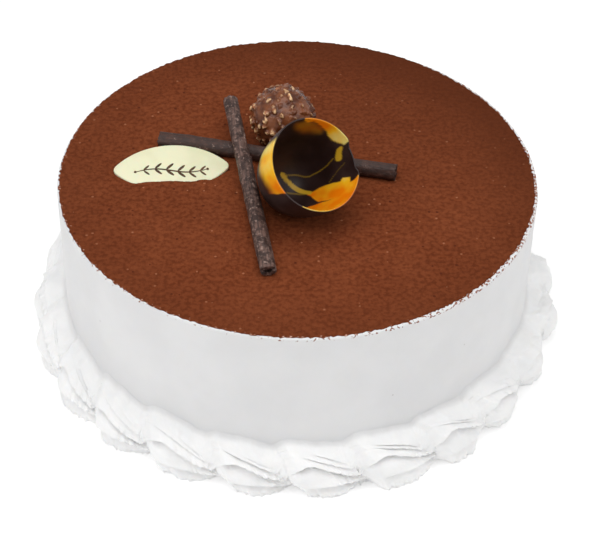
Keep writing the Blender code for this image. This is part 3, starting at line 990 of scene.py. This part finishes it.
cupLook = {
    "radius": 0.0204,
    "depth": 0.0350,
    "wall": 0.0011,
    "thinRim": 0.5,  # the wall at the rim, as a share of the wall
    "thinReach": 0.3,  # how far down it has its full thickness, as a share of the curve
    "shoulder": 0.8,
    "turnDeg": 41.6,  # where the mouth points: round from the front, and up
    "liftDeg": 48.4,
    "rimAt": (0.0076, -0.0306),
    "scoopDeg": (-35.0, 10.0),
    "scoopDepth": 0.0027,
    "scoopReach": 0.55,  # the scoop fades out this far down
    "rimWave": 0.00012,
    "steps": 360,
    "rings": 56,
    # the glow seen through the outside: where it starts and ends round the cup, and how far down it reaches
    "glowFromDeg": (118, 130),
    "glowTo": 193,
    "glowSlant": 25,  # degrees by which its end comes nearer towards the pole
    "glowDown": 0.31,
    "glowLess": 0.17,  # from the first to the second of these angles it comes to reach this much less far
    "glowLessDeg": (140, 185),
    "glowFade": 0.24,
    "lineTone": (0.66, 0.42, 0.025),
}


def cupCurve(radius, depth, low, rings, shoulder):
    # (radius, height) from the rim down to the pole
    curve = []
    for i in range(rings + 1):
        angle = math.pi / 2 * i / rings
        curve.append((radius * math.cos(angle) ** shoulder, low + depth * (1 - math.sin(angle))))
    curve[-1] = (0.0, low)
    return curve


def onDisc(angleDeg, share):
    # a place on the cup as a flat disc, with the pole in the middle and the rim at 1
    reach = math.acos(min(1.0, max(-1.0, share))) * 2 / math.pi
    return direction(math.radians(angleDeg)).to_2d() * reach


def strokeDistance(spot, stroke):
    distances = []
    for a, b in zip(stroke, stroke[1:]):
        along = min(1.0, max(0.0, (spot - a).dot(b - a) / max(1e-9, (b - a).length_squared)))
        distances.append((spot - a - (b - a) * along).length)
    return min(distances)


def insidePatch(spot, corners):
    inside = False
    for a, b in zip(corners, corners[1:] + corners[:1]):
        if (a.y > spot.y) != (b.y > spot.y) and spot.x < (b.x - a.x) * (spot.y - a.y) / (b.y - a.y) + a.x:
            inside = not inside
    return inside


def softPatch(spot, corners, blur):
    # 1 inside the patch and 0 outside, with a soft edge
    away = strokeDistance(spot, corners + corners[:1])
    return step(-blur, blur, away if insidePatch(spot, corners) else -away)


# The marbling, as corners (angle round the cup, share of the depth below the rim) with a strength and
# how soft the edge is.
marblePatches = {
    "innerTop": ([(76, -0.1), (70, 0.05), (63, 0.14), (57, 0.08), (50, 0.10), (43, 0.14), (33, 0.18),
                  (27, 0.23), (18, 0.24), (11, 0.18), (6, 0.10), (7, -0.1), (40, -0.1)], 1.0, 0.012),
    "innerGlow": ([(80, 0.15), (70, 0.30), (58, 0.38), (47, 0.34), (36, 0.27), (40, 0.12), (60, 0.05)],
                  0.38, 0.06),
    "innerLow": ([(-46, 0.84), (-40, 0.76), (-35, 0.64), (-34.5, 0.49), (-36, 0.38), (-32, 0.34),
                  (-35, 0.20), (-42, 0.155), (-41, 0.075), (-34, -0.1), (-60, -0.1), (-90, -0.1),
                  (-120, -0.1), (-142, -0.1), (-130, 0.3), (-105, 0.65), (-84, 0.77), (-70, 0.66),
                  (-62, 0.44), (-66, 0.675), (-63, 0.73), (-54, 0.82), (-50, 0.87)], 1.0, 0.010),
}
# Lines have a half width and a strength.
marbleLines = {
    "loopHigh": ([(53, 0.98), (5, 0.93), (-11, 0.83), (-10, 0.745), (-8, 0.60), (-2, 0.42)], 0.010, 0.34),
    "loopLow": ([(48, 0.98), (20, 0.99), (-27, 0.98), (-42, 0.935), (-46, 0.84)], 0.030, 1.0),
    "lowLine": ([(-75, 0.99), (-54, 0.95), (-50, 0.895)], 0.012, 0.30),
    "spot": ([(3.5, 0.220), (-5.5, 0.310)], 0.056, 0.95),
    "thin": ([(-13.6, 0.20), (-18.7, 0.37), (-26, 0.52), (-32, 0.59)], 0.006, 0.22),
}
# how orange the colour is at an angle round the cup: 0 is pale yellow and 1 a strong orange
heatStops = [
    (-180, 1.0), (-165, 0.95), (-140, 0.35), (-122, 0.15), (-100, 0.65), (-75, 1.0), (-50, 0.9),
    (-34, 0.45), (6, 0.0), (18, 0.12), (30, 0.45), (42, 0.85), (62, 0.9), (80, 0.75), (124, 0.0),
    (134, 0.12), (142, 0.42), (165, 0.5), (174, 0.8), (180, 1.0),
]


def heatAt(angle):
    for (low, first), (high, second) in zip(heatStops, heatStops[1:]):
        if low <= angle <= high:
            return first + (second - first) * (angle - low) / (high - low)
    return 1.0


def wander(point, fineness, reach):
    # a small shift that makes the edges of the marbling uneven
    spot = point.co * fineness
    return Vector((noise.noise(spot), noise.noise(spot + Vector((9, 9, 9))))) * reach


def placedShapes(shapes):
    return [([onDisc(*corner) for corner in corners], *rest) for corners, *rest in shapes.values()]


def turnedCup():
    # the shell of the cup, upright with its pole at the bottom
    look = cupLook
    radius, depth, wall = look["radius"], look["depth"], look["wall"]
    outer = cupCurve(radius, depth, 0.0, look["rings"], look["shoulder"])
    innerCurve = cupCurve(radius - wall, depth - wall, wall, look["rings"], look["shoulder"])
    inner = []
    for i, (reach, height) in enumerate(innerCurve):
        thin = (1 - look["thinRim"]) * wall * (1 - step(0, look["thinReach"], i / look["rings"]))
        inner.append((reach + thin if reach else 0.0, height))
    return turned("marbledCup", [*reversed(inner), *outer], look["steps"])


def paintCup(cup, isOuter, place):
    look = cupLook
    patches, lines = placedShapes(marblePatches), placedShapes(marbleLines)

    def amber(point):
        angle, share = place(point)
        drift = wander(point, 260, 0.014)
        if isOuter(point):
            turn = angle % 360
            lowest = look["glowDown"] - look["glowLess"] * step(*look["glowLessDeg"], turn) + drift.x * 3
            end = look["glowTo"] - look["glowSlant"] * share + drift.y * 60
            beside = step(*look["glowFromDeg"], turn) * (1 - step(end - 1, end + 1, turn))
            return beside * (1 - step(lowest, lowest + look["glowFade"], share))
        spot = onDisc(angle, share) + drift
        return max(strength * softPatch(spot, corners, blur) for corners, strength, blur in patches)

    def gold(point):
        if isOuter(point):
            return 0.0
        spot = onDisc(*place(point)) + wander(point, 300, 0.010)
        return max(strength * (1 - step(width * 0.7, width * 1.1, strokeDistance(spot, points)))
                   for points, width, strength in lines)

    def heat(point):
        angle, _ = place(point)
        return heatAt(angle) + 0.35 * noise.noise(point.co * 170) + 0.15 * noise.noise(point.co * 420)

    paint(cup, "amber", amber)
    paint(cup, "gold", gold)
    paint(cup, "warmth", heat)


def makeCup():
    look = cupLook
    cup = turnedCup()

    def isOuter(point):
        slope = math.sqrt(max(0.0, 1 - (1 - point.co.z / look["depth"]) ** 2)) ** look["shoulder"]
        return math.hypot(point.co.x, point.co.y) > (look["radius"] - look["wall"] * 0.3) * slope

    def place(point):
        # the angle round the cup, and how far below the rim, as a share of that face's own depth
        floor = 0.0 if isOuter(point) else look["wall"]
        share = 1 - (point.co.z - floor) / (look["depth"] - floor)
        return math.degrees(math.atan2(point.co.y, point.co.x)), share

    paintCup(cup, isOuter, place)
    low, high = look["scoopDeg"]
    middle, half = (low + high) / 2, (high - low) / 2
    for point in cup.data.vertices:
        angle, share = place(point)
        fade = step(look["scoopReach"], 0.0, share)
        scoop = step(1.0, 0.50, abs(angle - middle) / half)
        wave = noise.noise(direction(math.radians(angle)) * 2.5)
        point.co.z -= fade * (look["scoopDepth"] * scoop + look["rimWave"] * (1 + wave))
    turn, lift = math.radians(look["turnDeg"]), math.radians(look["liftDeg"])
    mouth = Vector((math.sin(turn) * math.cos(lift), -math.cos(turn) * math.cos(lift), math.sin(lift)))
    side = Vector((0, 0, 1)).cross(mouth).normalized()
    pose = Matrix((side, mouth.cross(side), mouth)).transposed().to_4x4()
    cup.data.transform(Matrix.Translation(Vector((*look["rimAt"], 0)) - mouth * look["depth"]) @ pose)
    lowest = min(point.co.z for point in cup.data.vertices)
    cup.data.transform(Matrix.Translation((0, 0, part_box("marbled_cup")[0].z - lowest)))
    smooth(cup, 50)
    finishPiece(cup, marbledMaterial(), "marbled_chocolate", "marbled_cup")


def marbledMaterial():
    material, tree = newMaterial("marbledChocolate", 0.38, Specular_IOR_Level=0.28)
    dark = mottle(tree, (0.020, 0.009, 0.008), (0.040, 0.022, 0.020), 70.0)
    glow = addNode(tree, "ValToRGB", {"Fac": readMask(tree, "warmth")})
    stops = glow.color_ramp.elements
    stops[0].position, stops[0].color = 0.0, (0.92, 0.76, 0.22, 1)
    stops[1].position, stops[1].color = 1.0, (0.95, 0.225, 0.001, 1)
    stops.new(0.40).color = (0.98, 0.54, 0.015, 1)
    tone = mixColours(tree, readMask(tree, "amber"), dark, glow.outputs["Color"])
    tone = mixColours(tree, readMask(tree, "gold"), tone, cupLook["lineTone"])
    return dress(material, tone, Coarse=150.0, Fine=900.0, Share=0.2, Height=0.00012)


# the white chocolate plaque and the sprig piped on it

plaqueLook = {
    "halfLength": 0.0252,
    "halfWidth": 0.0128,
    "tip": 0.0030,
    "thickness": 0.0016,
    "edge": 0.0005,
    "at": (-0.0555, 0.0009),
    "above": 0.0017,  # the middle of its face above the cocoa
    "turnDeg": 5.9,
    "leanDeg": 13.0,
    "steps": 160,
}


def plaqueReach(angle):
    # distance from the middle to the outline: a lens of two arcs with round tips
    look = plaqueLook
    tipX = look["halfLength"] - look["tip"]
    arc = (tipX ** 2 / (look["halfWidth"] - look["tip"]) + look["tip"] + look["halfWidth"]) / 2
    drop = arc - look["halfWidth"]
    x, y = abs(math.cos(angle)), abs(math.sin(angle))
    join = math.atan2(drop, tipX)
    corner = Vector((tipX + look["tip"] * math.cos(join), look["tip"] * math.sin(join)))
    if math.atan2(y, x) < math.atan2(corner.y, corner.x):
        return x * tipX + math.sqrt(look["tip"] ** 2 - (y * tipX) ** 2)
    return -y * drop + math.sqrt(arc ** 2 - (x * drop) ** 2)


def plaquePose():
    look = plaqueLook
    place = Matrix.Translation((*look["at"], topHeight + look["above"]))
    return (place @ Matrix.Rotation(math.radians(look["turnDeg"]), 4, "Z")
            @ Matrix.Rotation(math.radians(look["leanDeg"]), 4, "X"))


def makePlaque():
    look = plaqueLook
    bpy.ops.mesh.primitive_circle_add(vertices=look["steps"], radius=1, fill_type="NGON")
    plaque = named(bpy.context.object, "whitePlaque")
    for point in plaque.data.vertices:
        angle = math.atan2(point.co.y, point.co.x)
        point.co = direction(angle) * plaqueReach(angle)
    down = {"value": (0, 0, -look["thickness"])}
    editMode(
        plaque,
        lambda: bpy.ops.mesh.extrude_region_move(TRANSFORM_OT_translate=down),
        lambda: bpy.ops.mesh.normals_make_consistent(inside=False),
    )
    rounding = plaque.modifiers.new("edge", "BEVEL")
    rounding.width = look["edge"]
    rounding.segments = 3
    rounding.limit_method = "ANGLE"
    applyModifiers(plaque)
    smooth(plaque, 35)
    plaque.data.transform(plaquePose())
    finishPiece(plaque, whiteChocolateMaterial(), "white_chocolate", "plaque")


def whiteChocolateMaterial():
    material, tree = newMaterial("whiteChocolate", 0.42, Subsurface_Weight=0.2, Subsurface_Scale=0.002)
    tone = mottle(tree, (0.73, 0.715, 0.48), (0.78, 0.765, 0.53), 90.0)
    return dress(material, tone, Coarse=160.0, Fine=900.0, Share=0.3, Height=0.0001)


sprigLook = {
    "halfLength": 0.0158,
    "drop": -0.0018,  # the sprig lies a little nearer the front edge
    "sway": 0.0013,
    "stem": 0.00036,
    "stemPoints": 40,
    "stemTips": 0.45,  # its thickness at the tips, as a share of the middle's
    "pairs": 6,
    "leaf": (0.0023, 0.00066, 0.00018),
    "leafTips": 0.65,  # the size of leaves at the tips, as a share of the middle's
    "leafOut": 1.15,  # a leaf's middle lies this far out, in half lengths of the leaf
    "leafSlantDeg": 44,
    "berry": 0.00060,
}


def makeSprig():
    look = sprigLook

    def stemAt(share):
        x = look["halfLength"] * (2 * share - 1)
        return Vector((x, look["drop"] + look["sway"] * math.sin(math.pi * 2 * share), 0))

    def swelling(tips, share):
        return tips + (1 - tips) * math.sin(math.pi * share)

    def ballAt(spot, radius):
        bpy.ops.mesh.primitive_uv_sphere_add(segments=16, ring_count=10, radius=radius, location=spot)
        return bpy.context.object

    path = bpy.data.curves.new("stem", "CURVE")
    path.dimensions = "3D"
    path.bevel_depth = look["stem"]
    path.bevel_resolution = 3
    path.use_fill_caps = True
    line = path.splines.new("POLY")
    line.points.add(look["stemPoints"])
    for i, point in enumerate(line.points):
        share = i / look["stemPoints"]
        point.co = (*stemAt(share), 1)
        point.radius = swelling(look["stemTips"], share)
    stem = objectFrom("stem", path)
    activate(stem)
    bpy.ops.object.convert(target="MESH")
    parts = [stem]
    for i in range(look["pairs"]):
        share = (i + 0.7) / (look["pairs"] + 0.4)
        size = swelling(look["leafTips"], share)
        for side in (1, -1):
            slant = math.radians(look["leafSlantDeg"] * side)
            offset = direction(slant) * look["leaf"][0] * size * look["leafOut"]
            leaf = ballAt(stemAt(share) + offset, 1)
            leaf.scale = [value * size for value in look["leaf"]]
            leaf.rotation_euler.z = slant
            parts.append(leaf)
    parts += [ballAt(stemAt(share), look["berry"]) for share in (0, 1)]
    sprig = join(parts, "pipedSprig")
    activate(sprig)
    bpy.ops.object.transform_apply(location=True, rotation=True, scale=True)
    smooth(sprig)
    sprig.data.transform(plaquePose())
    finishPiece(sprig, sprigMaterial(), "dark_chocolate")


def sprigMaterial():
    material, tree = newMaterial("sprigChocolate", 0.45, Specular_IOR_Level=0.35)
    tone = mottle(tree, (0.050, 0.020, 0.006), (0.100, 0.046, 0.014), 900.0)
    return dress(material, tone)


materials = {
    "darkChocolate": darkChocolateMaterial("darkChocolate", (0.150, 0.082, 0.064), 0.54),
    "plainChocolate": darkChocolateMaterial("plainChocolate", (0.072, 0.030, 0.020), 0.62),
}
for name, stick in sticks.items():
    makeStick(name, stick)
makeTruffle()
makeCup()
makePlaque()
makeSprig()
